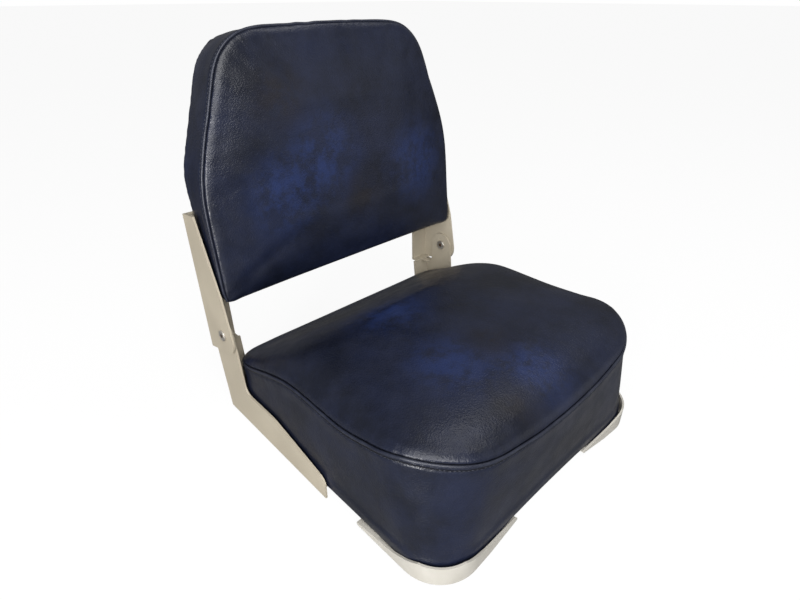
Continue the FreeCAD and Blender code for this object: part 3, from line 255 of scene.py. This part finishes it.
def merged_copy(name, nodes):
    """One object from copies of frame nodes; a foam is made fuller, to leave no gap under its covers."""
    copies = []
    for node in nodes:
        copy = bpy.data.objects.new(name, frame["nodes"][node].data.copy())
        bpy.context.collection.objects.link(copy)
        copy.data.materials.clear()
        join_corners(copy)
        if node.endswith("_foam"):
            put_points(copy, points_of(copy) + normals_of(copy) * FOAM_FILL)
        copies.append(copy)
    deselect()
    for copy in copies:
        copy.select_set(True)
    bpy.context.view_layer.objects.active = copies[0]
    bpy.ops.object.join()
    piece = bpy.context.view_layer.objects.active
    piece.name = name
    join_corners(piece)
    return piece


def remeshed(piece, voxel):
    """Even quads over the outside of a piece, without the shells of gaps inside it."""
    activate(piece)
    piece.data.remesh_voxel_size = voxel
    piece.data.use_remesh_fix_poles = False
    bpy.ops.object.voxel_remesh()
    bpy.ops.object.mode_set(mode="EDIT")
    bpy.ops.mesh.select_all(action="SELECT")
    bpy.ops.mesh.separate(type="LOOSE")
    bpy.ops.object.mode_set(mode="OBJECT")
    shells = sorted(bpy.context.selected_objects, key=lambda shell: len(shell.data.vertices))
    name = piece.name
    skin = shells.pop()
    for shell in shells:
        bpy.data.objects.remove(shell, do_unlink=True)
    skin.name = name
    activate(skin)
    bpy.ops.object.mode_set(mode="EDIT")
    bpy.ops.mesh.select_all(action="SELECT")
    bpy.ops.mesh.normals_make_consistent(inside=False)
    bpy.ops.object.mode_set(mode="OBJECT")
    bpy.ops.object.shade_smooth()
    return skin


def lay_on(piece, target, rows):
    """Moves points to the target's skin where it is close, to its outer side where it has two."""
    places = points_of(piece)
    outward = normals_of(piece)
    tree = BVHTree.FromObject(target, bpy.context.evaluated_depsgraph_get())
    for row in np.nonzero(rows)[0]:
        place = Vector(places[row])
        away = Vector(outward[row])
        near, facing, _, _ = tree.find_nearest(place, LAY_REACH)
        if near is None:
            continue
        if facing.dot(away) < 0:
            outer = tree.ray_cast(place + away * LAY_REACH, -away, LAY_REACH)[0]
            near = outer or near
        places[row] = near
    put_points(piece, places)


def swell(piece, held, reach):
    """Fills a piece like stuffing under its cover; held points stay where they are."""
    start = points_of(piece)
    slack = np.clip((np.abs(reach) - SEAM_HOLD) / SEAM_EASE, 0.0, 1.0) * (1 - held)
    put_points(piece, start - normals_of(piece) * START_SHRINK * slack[:, None])
    activate(piece)
    group = piece.vertex_groups.new(name="held")
    for row in np.nonzero(held > 0.5)[0]:
        group.add([int(row)], 1.0, "REPLACE")
    cloth = piece.modifiers.new("Stuffing", "CLOTH")
    cloth.settings.quality = 5
    cloth.settings.mass = 0.3
    cloth.settings.tension_stiffness = 20
    cloth.settings.compression_stiffness = 20
    cloth.settings.shear_stiffness = 8
    cloth.settings.bending_stiffness = 1.5
    cloth.settings.vertex_group_mass = "held"
    cloth.settings.use_pressure = True
    cloth.settings.uniform_pressure_force = CLOTH_PRESSURE
    cloth.settings.effector_weights.gravity = 0.0
    cloth.collision_settings.use_collision = False
    cloth.point_cache.frame_start = 1
    cloth.point_cache.frame_end = CLOTH_FRAMES
    scene = bpy.context.scene
    for step in range(1, CLOTH_FRAMES + 1):
        scene.frame_set(step)
    bpy.ops.object.modifier_apply(modifier="Stuffing")
    scene.frame_set(1)
    moved = points_of(piece) - start
    far = np.linalg.norm(moved, axis=1, keepdims=True)
    moved *= np.minimum(1.0, SWELL_CAP / np.maximum(far, 1e-9))
    put_points(piece, start + moved)
    calm = piece.modifiers.new("Calm", "SMOOTH")
    calm.factor = 0.5
    calm.iterations = CALM_ROUNDS
    calm.vertex_group = "held"
    calm.invert_vertex_group = True
    bpy.ops.object.modifier_apply(modifier="Calm")


def roll_under(piece, rows):
    """Rounds the edge where a panel turns under without a seam."""
    activate(piece)
    group = piece.vertex_groups.new(name="roll")
    group.add([int(row) for row in np.nonzero(rows)[0]], 1.0, "REPLACE")
    rounder = piece.modifiers.new("Roll", "SMOOTH")
    rounder.factor = 0.5
    rounder.iterations = ROLL_ROUNDS
    rounder.vertex_group = "roll"
    bpy.ops.object.modifier_apply(modifier="Roll")


def subdivided(piece):
    """One smooth subdivision, applied."""
    activate(piece)
    finer = piece.modifiers.new("Finer", "SUBSURF")
    finer.levels = 1
    finer.render_levels = 1
    bpy.ops.object.modifier_apply(modifier="Finer")


def finer_near(piece, close):
    """Divides the faces whose corners are all close to a seam."""
    activate(piece)
    mesh = piece.data
    corner_close = np.zeros(len(mesh.vertices), dtype=bool)
    corner_close[close] = True
    bpy.ops.object.mode_set(mode="EDIT")
    bpy.ops.mesh.select_all(action="DESELECT")
    bpy.ops.object.mode_set(mode="OBJECT")
    for face in mesh.polygons:
        face.select = all(corner_close[corner] for corner in face.vertices)
    bpy.ops.object.mode_set(mode="EDIT")
    bpy.ops.mesh.select_mode(type="FACE")
    bpy.ops.mesh.subdivide(number_cuts=1, smoothness=0.0)
    bpy.ops.object.mode_set(mode="OBJECT")


def press_seam(piece, line, towards_panel, depth):
    """Draws the sewn seam into the cover: the fold, the stitch line and small puckers."""
    places = points_of(piece)
    outward = normals_of(piece)
    reach, along = seam_reach(places, line, towards_panel)
    metres = along * SEAM_STEP
    push = -depth * hill(reach, *FOLD_HILL)
    push += PUFF_SHARE * depth * hill(reach, *PUFF_HILL)
    push -= STITCH_SHARE * depth * hill(reach, -STITCH_BELOW, STITCH_DIP)
    waves = sum(np.sin(metres * turn + start) for turn, start in PUCKER_WAVES)
    (first_turn, first_start), (second_turn, second_start) = PUCKER_SPELLS
    spells = np.sin(metres * first_turn + first_start) * np.sin(metres * second_turn + second_start)
    slow = 0.5 + 0.5 * spells
    push += PUCKER_HEIGHT * waves * slow * np.exp(-np.abs(reach) / PUCKER_REACH)
    put_points(piece, places + outward * push[:, None])
    keep_value(piece, "seam_reach", reach)


def stuff_and_sew(cushion, held, reach, line, towards_panel):
    """Swells a laid-on cushion, makes its mesh finer and draws its seam in."""
    swell(cushion, held, reach)
    subdivided(cushion)
    reach, _ = seam_reach(points_of(cushion), line, towards_panel)
    finer_near(cushion, np.nonzero(np.abs(reach) < SEAM_FINE)[0])
    press_seam(cushion, line, towards_panel, SEAM_DEPTH)


# Piping and stitches


def piping_along(name, line, radius, closed):
    """A soft round cord sewn into a seam."""
    curve = bpy.data.curves.new(name, "CURVE")
    curve.dimensions = "3D"
    curve.bevel_depth = radius
    curve.bevel_resolution = 3
    curve.resolution_u = 3
    route = even_line(line, PIPING_STEP, closed)
    curve.use_fill_caps = not closed
    spline = curve.splines.new("NURBS")
    spline.points.add(len(route) - 1)
    for point, place in zip(spline.points, route):
        point.co = (*place, 1.0)
    spline.use_cyclic_u = closed
    spline.use_endpoint_u = not closed
    spline.order_u = 3
    cord = bpy.data.objects.new(name, curve)
    bpy.context.collection.objects.link(cord)
    activate(cord)
    bpy.ops.object.convert(target="MESH")
    bpy.ops.object.shade_smooth()
    return cord


def one_stitch():
    """Places and faces of one thread stitch lying along X."""
    deselect()
    bpy.ops.mesh.primitive_uv_sphere_add(segments=6, ring_count=5, radius=0.5)
    stitch = bpy.context.view_layer.objects.active
    places = points_of(stitch)[:, [2, 0, 1]]
    faces = [list(face.vertices) for face in stitch.data.polygons]
    bpy.data.objects.remove(stitch, do_unlink=True)
    return places, faces


def stitches_along(name, cushion, line, below, closed):
    """A row of stitches on the band beside a seam, laid on the cushion's own skin."""
    shape, shape_faces = one_stitch()
    tree = BVHTree.FromObject(cushion, bpy.context.evaluated_depsgraph_get())
    route = even_line(line, STITCH_PITCH, closed)
    ahead = ahead_of(route, closed)
    places, faces = [], []
    for index, place in enumerate(route):
        spot, normal, _, _ = tree.find_nearest(Vector(place + below * STITCH_BELOW))
        tangent = Vector(ahead[index])
        tangent = (tangent - normal * tangent.dot(normal)).normalized()
        across = normal.cross(tangent)
        base = len(places)
        for x, y, z in shape:
            point = spot + tangent * (x * STITCH_LENGTH)
            point += across * (y * STITCH_THICK * 1.6) + normal * (z * STITCH_THICK * 1.6)
            places.append(point)
        faces += [[base + corner for corner in face] for face in shape_faces]
    mesh = bpy.data.meshes.new(name)
    mesh.from_pydata(places, [], faces)
    mesh.update()
    row = bpy.data.objects.new(name, mesh)
    bpy.context.collection.objects.link(row)
    activate(row)
    bpy.ops.object.mode_set(mode="EDIT")
    bpy.ops.mesh.select_all(action="SELECT")
    bpy.ops.mesh.normals_make_consistent(inside=False)
    bpy.ops.object.mode_set(mode="OBJECT")
    bpy.ops.object.shade_smooth()
    return row


def lean_axes():
    """The back's own directions, taken from the lean of its front seam: up and forward."""
    places = points_of(frame["nodes"]["back_welt"])
    high = places[places[:, 2] > places[:, 2].max() - 0.01].mean(axis=0)
    low = places[places[:, 2] < places[:, 2].min() + 0.01].mean(axis=0)
    up = high - low
    up[0] = 0.0
    up /= np.linalg.norm(up)
    forward = np.array([0.0, -up[2], up[1]])
    return up, forward


def inward_of(line, across, closed):
    """Direction from each seam point to the inside of the seam's loop, square to the line and to across."""
    ahead = ahead_of(line, closed)
    inward = line.mean(axis=0) - line
    inward -= ahead * (inward * ahead).sum(axis=1)[:, None]
    inward -= across * (inward * across).sum(axis=1)[:, None]
    return inward / np.linalg.norm(inward, axis=1, keepdims=True)


def build_seat_cushion():
    line = seam_line("seat_welt", (0.0, 0.0, 0.0), 0, 1, closed=True)
    up = np.array([0.0, 0.0, 1.0])
    inward = inward_of(line, up, closed=True)
    towards_panel = inward + 0.8 * up

    guide = merged_copy("seat_guide", ["seat_top_cover", "seat_side_band"])
    cushion = merged_copy("seat_cushion", ["seat_foam", "seat_top_cover", "seat_side_band"])
    cushion = remeshed(cushion, SEAT_VOXEL)
    places = points_of(cushion)
    outside = normals_of(cushion)[:, 2] > -0.6
    lay_on(cushion, guide, outside | (places[:, 2] < HEM_TOP))
    reach, _ = seam_reach(points_of(cushion), line, towards_panel)
    low = points_of(cushion)[:, 2] < HEM_TOP
    held = np.where(low | (np.abs(reach) < SEAM_HOLD), 1.0, 0.0)
    stuff_and_sew(cushion, held, reach, line, towards_panel)
    bpy.data.objects.remove(guide, do_unlink=True)
    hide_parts("seat_foam", "seat_top_cover", "seat_side_band")
    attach(cushion, "seat_base")

    sunk = line + inward * PIPING_IN - up * PIPING_DOWN
    piping = piping_along("seat_piping", sunk, PIPING_RADIUS, closed=True)
    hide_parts("seat_welt")
    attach(piping, "seat_base")
    row = stitches_along("seat_stitches", cushion, line, -up, closed=True)
    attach(row, "seat_base")
    return cushion, piping, row


def build_back_cushion():
    up, forward = lean_axes()
    line = seam_line("back_welt", points_of(frame["nodes"]["back_welt"]).mean(axis=0), 0, 2, closed=False)
    inward = inward_of(line, forward, closed=False)
    towards_panel = inward + 0.8 * forward

    covers = ["back_front_cover", "back_side_band", "back_rear_cover"]
    guide = merged_copy("back_guide", covers)
    cushion = merged_copy("back_cushion", covers + ["back_foam", "back_board"])
    cushion = remeshed(cushion, BACK_VOXEL)
    lay_on(cushion, guide, np.ones(len(cushion.data.vertices), dtype=bool))
    places = points_of(cushion)
    reach, _ = seam_reach(places, line, towards_panel)
    height = (places - places[np.argmin(places @ up)]) @ up
    roll_under(cushion, (height < ROLL_HEIGHT) & (np.abs(reach) > SEAM_HOLD))
    places = points_of(cushion)
    reach, _ = seam_reach(places, line, towards_panel)
    rear = normals_of(cushion) @ forward < -0.5
    held = np.where(rear | (np.abs(reach) < SEAM_HOLD), 1.0, 0.0)
    stuff_and_sew(cushion, held, reach, line, towards_panel)
    bpy.data.objects.remove(guide, do_unlink=True)
    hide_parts("back_foam", *covers)
    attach(cushion, "backrest")

    sunk = line + inward * PIPING_IN - forward * PIPING_DOWN
    piping = piping_along("back_piping", sunk, PIPING_RADIUS, closed=False)
    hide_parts("back_welt")
    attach(piping, "backrest")
    row = stitches_along("back_stitches", cushion, line, -forward, closed=False)
    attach(row, "backrest")
    return cushion, piping, row


# Materials


class Finish:
    """A node material with short ways to add and join nodes."""

    def __init__(self, name):
        self.material = bpy.data.materials.new(name)
        self.material.use_nodes = True
        self.nodes = self.material.node_tree.nodes
        self.links = self.material.node_tree.links
        self.shader = self.nodes["Principled BSDF"]
        self.place = self.add("ShaderNodeTexCoord").outputs["Object"]

    def add(self, kind, **settings):
        node = self.nodes.new(kind)
        for name, value in settings.items():
            setattr(node, name, value)
        return node

    def join(self, output, node, socket):
        self.links.new(output, node.inputs[socket])

    def noise(self, scale, detail=3.0, rough=0.55, stretch=(1, 1, 1), shift=(0, 0, 0)):
        """Cloudy pattern; scale is in waves to the metre."""
        mapping = self.add("ShaderNodeMapping")
        mapping.inputs["Scale"].default_value = stretch
        mapping.inputs["Location"].default_value = shift
        self.join(self.place, mapping, "Vector")
        noise = self.add("ShaderNodeTexNoise")
        noise.inputs["Scale"].default_value = scale
        noise.inputs["Detail"].default_value = detail
        noise.inputs["Roughness"].default_value = rough
        self.join(mapping.outputs["Vector"], noise, "Vector")
        return noise.outputs["Fac"]

    def ramp(self, value, stops):
        """Colours along a value; stops are (place, colour) pairs."""
        ramp = self.add("ShaderNodeValToRGB")
        marks = ramp.color_ramp.elements
        while len(marks) < len(stops):
            marks.new(1.0)
        for mark, (place, colour) in zip(marks, stops):
            mark.position = place
            mark.color = (*colour, 1.0)
        self.join(value, ramp, "Fac")
        return ramp.outputs["Color"]

    def mix(self, share, first, second, kind="MIX"):
        mix = self.add("ShaderNodeMix", data_type="RGBA", blend_type=kind)
        if isinstance(share, float):
            mix.inputs[0].default_value = share
        else:
            self.links.new(share, mix.inputs[0])
        for socket, value in ((6, first), (7, second)):
            if isinstance(value, tuple):
                mix.inputs[socket].default_value = (*value, 1.0)
            else:
                self.links.new(value, mix.inputs[socket])
        return mix.outputs[2]

    def span(self, value, low, high, out_low, out_high):
        span = self.add("ShaderNodeMapRange", interpolation_type="SMOOTHSTEP")
        sockets = ("From Min", "From Max", "To Min", "To Max")
        for socket, number in zip(sockets, (low, high, out_low, out_high)):
            span.inputs[socket].default_value = number
        self.join(value, span, "Value")
        return span.outputs["Result"]

    def spot(self, middle, reach):
        """One soft patch round a place, from one at the middle to nothing at its reach."""
        far = self.add("ShaderNodeVectorMath", operation="DISTANCE")
        far.inputs[1].default_value = middle
        self.join(self.place, far, 0)
        return self.span(far.outputs["Value"], 0.0, reach, 1.0, 0.0)

    def maths(self, kind, first, second):
        maths = self.add("ShaderNodeMath", operation=kind)
        for socket, value in enumerate((first, second)):
            if isinstance(value, (int, float)):
                maths.inputs[socket].default_value = value
            else:
                self.links.new(value, maths.inputs[socket])
        return maths.outputs[0]

    def bump(self, height, strength, depth, under=None):
        bump = self.add("ShaderNodeBump")
        bump.inputs["Strength"].default_value = strength
        bump.inputs["Distance"].default_value = depth
        self.join(height, bump, "Height")
        if under is not None:
            self.join(under, bump, "Normal")
        return bump.outputs["Normal"]


def grey(level):
    return (level, level, level)


def vinyl(name):
    """Mottled navy vinyl with a fine pressed grain."""
    finish = Finish(name)
    clouds = finish.noise(11.0, detail=7.0, rough=0.68, shift=(0.31, 0.12, 0.05))
    base = finish.ramp(clouds, [(0.36, NAVY_DARK), (0.62, NAVY)])
    ragged = finish.span(finish.noise(34.0, detail=7.0, rough=0.7), 0.36, 0.60, 0.15, 1.0)
    for places, colour, share in ((BLUE_CLOUDS, NAVY_BLUE, 0.8), (BROWN_CLOUDS, NAVY_BROWN, 0.7)):
        for middle, reach in places:
            patch = finish.maths("MULTIPLY", finish.spot(middle, reach), ragged)
            base = finish.mix(finish.maths("MULTIPLY", patch, share), base, colour)
    # Painted shade along the seam's fold and stitch line, and a painted highlight on the strip between
    # them, mixed over the base colour
    seam = finish.add("ShaderNodeAttribute", attribute_name="seam_reach").outputs["Fac"]
    for middle, width, share, colour in SEAM_PAINTED_LIGHT:
        away = finish.maths("ABSOLUTE", finish.maths("SUBTRACT", seam, middle), 0.0)
        base = finish.mix(finish.span(away, 0.3 * width, width, share, 0.0), base, colour)
    finish.join(base, finish.shader, "Base Color")
    finish.shader.inputs["Specular IOR Level"].default_value = 0.48
    gloss = finish.noise(38.0, detail=5.0, rough=0.6)
    finish.join(finish.span(gloss, 0.3, 0.7, 0.31, 0.42), finish.shader, "Roughness")
    grain = finish.add("ShaderNodeTexVoronoi", feature="SMOOTH_F1")
    grain.inputs["Scale"].default_value = 620.0
    finish.join(finish.place, grain, "Vector")
    pebble = finish.bump(grain.outputs["Distance"], 0.32, 0.0007)
    creases = finish.noise(150.0, detail=4.0, rough=0.65)
    soft = finish.bump(creases, 0.18, 0.0014, under=pebble)
    finish.join(soft, finish.shader, "Normal")
    return finish.material


def piping_vinyl(name):
    """The same vinyl wrapped round a thin cord, in soft random patches, painted lighter than the cover as a
    painted highlight for the thin light line along the seam.
    """
    finish = Finish(name)
    tone = finish.noise(60.0, detail=3.0)
    # The lighter colours here are a painted highlight for the light line along the seam
    colour = finish.ramp(tone, [(0.3, (0.0090, 0.0110, 0.0220)), (0.7, (0.0200, 0.0235, 0.0380))])
    finish.join(colour, finish.shader, "Base Color")
    finish.join(finish.span(tone, 0.3, 0.7, 0.32, 0.44), finish.shader, "Roughness")
    grain = finish.noise(900.0, detail=2.0)
    finish.join(finish.bump(grain, 0.2, 0.0004), finish.shader, "Normal")
    return finish.material


def thread(name):
    finish = Finish(name)
    twist = finish.noise(1400.0, detail=2.0)
    colour = finish.ramp(twist, [(0.3, (0.0080, 0.0095, 0.0180)), (0.7, (0.0300, 0.0340, 0.0500))])
    finish.join(colour, finish.shader, "Base Color")
    finish.join(finish.span(twist, 0.3, 0.7, 0.5, 0.7), finish.shader, "Roughness")
    finish.join(finish.bump(twist, 0.5, 0.0003), finish.shader, "Normal")
    return finish.material


def arm_paint(name):
    """Warm grey paint on folded sheet metal, faintly uneven and scuffed."""
    finish = Finish(name)
    tone = finish.noise(14.0, detail=4.0, rough=0.55)
    colour = finish.ramp(tone, [(0.3, (0.365, 0.322, 0.248)), (0.7, (0.420, 0.374, 0.292))])
    scuff = finish.noise(130.0, detail=6.0, rough=0.7, stretch=(1.0, 0.35, 0.35))
    colour = finish.mix(finish.span(scuff, 0.66, 0.76, 0.0, 0.35), colour, (0.27, 0.235, 0.18))
    finish.join(colour, finish.shader, "Base Color")
    finish.join(finish.span(tone, 0.3, 0.7, 0.36, 0.48), finish.shader, "Roughness")
    peel = finish.noise(420.0, detail=2.0)
    finish.join(finish.bump(peel, 0.10, 0.0006), finish.shader, "Normal")
    return finish.material


def moulded_plastic(name):
    """Pale warm grey moulded plastic with a faint mottle."""
    finish = Finish(name)
    tone = finish.noise(30.0, detail=5.0, rough=0.6)
    colour = finish.ramp(tone, [(0.28, (0.400, 0.380, 0.335)), (0.72, (0.475, 0.455, 0.410))])
    finish.join(colour, finish.shader, "Base Color")
    finish.join(finish.span(tone, 0.3, 0.7, 0.48, 0.6), finish.shader, "Roughness")
    texture = finish.noise(700.0, detail=3.0)
    finish.join(finish.bump(texture, 0.14, 0.0006), finish.shader, "Normal")
    return finish.material


def plated_steel(name, dark, pale, stain, bore=None):
    """Plated fasteners with small stained spots; a bore round the hinge line is stained all over."""
    finish = Finish(name)
    finish.shader.inputs["Metallic"].default_value = 0.85
    tone = finish.noise(90.0, detail=4.0)
    colour = finish.ramp(tone, [(0.3, dark), (0.7, pale)])
    spots = finish.noise(260.0, detail=4.0, rough=0.65)
    colour = finish.mix(finish.span(spots, 0.6, 0.7, 0.0, 0.8), colour, stain)
    if bore is not None:
        level = finish.add("ShaderNodeVectorMath", operation="MULTIPLY")
        level.inputs[1].default_value = (0.0, 1.0, 1.0)
        finish.join(finish.place, level, 0)
        far = finish.add("ShaderNodeVectorMath", operation="DISTANCE")
        far.inputs[1].default_value = (0.0, HINGE_LINE[0], HINGE_LINE[1])
        finish.join(level.outputs["Vector"], far, 0)
        colour = finish.mix(finish.span(far.outputs["Value"], 0.8 * bore, bore, 0.9, 0.0), colour, stain)
    finish.join(colour, finish.shader, "Base Color")
    finish.join(finish.span(spots, 0.35, 0.7, 0.28, 0.6), finish.shader, "Roughness")
    finish.join(finish.bump(tone, 0.1, 0.0004), finish.shader, "Normal")
    return finish.material


def plywood(name):
    finish = Finish(name)
    grain = finish.noise(40.0, detail=6.0, rough=0.6, stretch=(1, 1, 8))
    colour = finish.ramp(grain, [(0.3, (0.36, 0.23, 0.12)), (0.7, (0.50, 0.35, 0.20))])
    finish.join(colour, finish.shader, "Base Color")
    finish.join(finish.span(grain, 0.3, 0.7, 0.6, 0.8), finish.shader, "Roughness")
    return finish.material


def cover(piece, material):
    piece.data.materials.clear()
    piece.data.materials.append(material)


def dress_frame_nodes():
    """Gives each shown frame node its finish."""
    paint = arm_paint("arm_paint")
    plastic = moulded_plastic("moulded_plastic")
    rivet = plated_steel(
        "rivet_steel", (0.36, 0.33, 0.29), (0.62, 0.60, 0.55), (0.16, 0.085, 0.04), RIVET_BORE
    )
    zinc = plated_steel("zinc_steel", (0.42, 0.42, 0.41), (0.66, 0.66, 0.64), (0.30, 0.28, 0.25))
    board = plywood("plywood")
    finishes = {"arm_paint": paint, "pan": plastic, "rivet_steel": rivet, "zinc_steel": zinc,
                "washer_nylon": plastic, "board": board, "vinyl": board, "piping": board, "foam": board}
    for entry in frame["record"]["subparts"]:
        cover(frame["nodes"][entry["node"]], finishes[entry["material_slot"]])


# Studio


def area_light(name, place, target, size, power):
    deselect()
    bpy.ops.object.light_add(type="AREA", location=place)
    lamp = bpy.context.view_layer.objects.active
    lamp.name = name
    lamp.data.shape = "RECTANGLE"
    lamp.data.size, lamp.data.size_y = size
    lamp.data.energy = power
    lamp.rotation_euler = (Vector(target) - Vector(place)).to_track_quat("-Z", "Y").to_euler()


def build_studio():
    scene = bpy.context.scene
    scene.view_settings.view_transform = "Standard"
    deselect()
    bpy.ops.object.camera_add(location=CAMERA_PLACE)
    camera = bpy.context.view_layer.objects.active
    camera.rotation_euler = [math.radians(turn) for turn in CAMERA_TURN_DEG]
    camera.data.lens = CAMERA_LENS_MM
    camera.data.sensor_width = CAMERA_SENSOR_MM
    camera.data.clip_start = 0.01
    camera.data.clip_end = 200.0
    scene.camera = camera

    deselect()
    bpy.ops.mesh.primitive_plane_add(size=60.0, location=(0.0, 0.0, 0.0))
    floor = bpy.context.view_layer.objects.active
    floor.name = "floor"
    paper = bpy.data.materials.new("floor_paper")
    paper.use_nodes = True
    nodes, links = paper.node_tree.nodes, paper.node_tree.links
    shader = nodes["Principled BSDF"]
    shader.inputs["Roughness"].default_value = 0.9
    shader.inputs["Specular IOR Level"].default_value = 0.0
    white = nodes.new("ShaderNodeEmission")
    white.inputs["Strength"].default_value = 1.0
    mix = nodes.new("ShaderNodeMixShader")
    path = nodes.new("ShaderNodeLightPath")
    share = nodes.new("ShaderNodeMath")
    share.operation = "MULTIPLY"
    share.inputs[1].default_value = FLOOR_WHITE
    links.new(path.outputs["Is Camera Ray"], share.inputs[0])
    tone = nodes.new("ShaderNodeMapRange")
    tone.inputs["To Min"].default_value = FLOOR_TONE
    tone.inputs["To Max"].default_value = FLOOR_SEEN
    links.new(path.outputs["Is Camera Ray"], tone.inputs["Value"])
    links.new(tone.outputs[0], shader.inputs["Base Color"])
    links.new(share.outputs[0], mix.inputs[0])
    links.new(shader.outputs[0], mix.inputs[1])
    links.new(white.outputs[0], mix.inputs[2])
    links.new(mix.outputs[0], nodes["Material Output"].inputs["Surface"])
    cover(floor, paper)

    world = bpy.data.worlds.new("studio")
    world.use_nodes = True
    scene.world = world
    nodes, links = world.node_tree.nodes, world.node_tree.links
    sky = nodes["Background"]
    sky.inputs["Color"].default_value = (1.0, 1.0, 1.0, 1.0)
    sky.inputs["Strength"].default_value = SKY_STRENGTH
    backdrop = nodes.new("ShaderNodeBackground")
    backdrop.inputs["Color"].default_value = (1.0, 1.0, 1.0, 1.0)
    seen = nodes.new("ShaderNodeMixShader")
    path = nodes.new("ShaderNodeLightPath")
    links.new(path.outputs["Is Camera Ray"], seen.inputs[0])
    links.new(sky.outputs[0], seen.inputs[1])
    links.new(backdrop.outputs[0], seen.inputs[2])
    links.new(seen.outputs[0], nodes["World Output"].inputs["Surface"])
    for light in LIGHTS:
        area_light(*light)


dress_frame_nodes()
seat_cushion, seat_piping, seat_stitches = build_seat_cushion()
back_cushion, back_piping, back_stitches = build_back_cushion()
navy = vinyl("navy_vinyl")
for cushion in (seat_cushion, back_cushion):
    cover(cushion, navy)
edging = piping_vinyl("piping_vinyl")
for cord in (seat_piping, back_piping):
    cover(cord, edging)
sewing = thread("sewing_thread")
for row in (seat_stitches, back_stitches):
    cover(row, sewing)
build_studio()
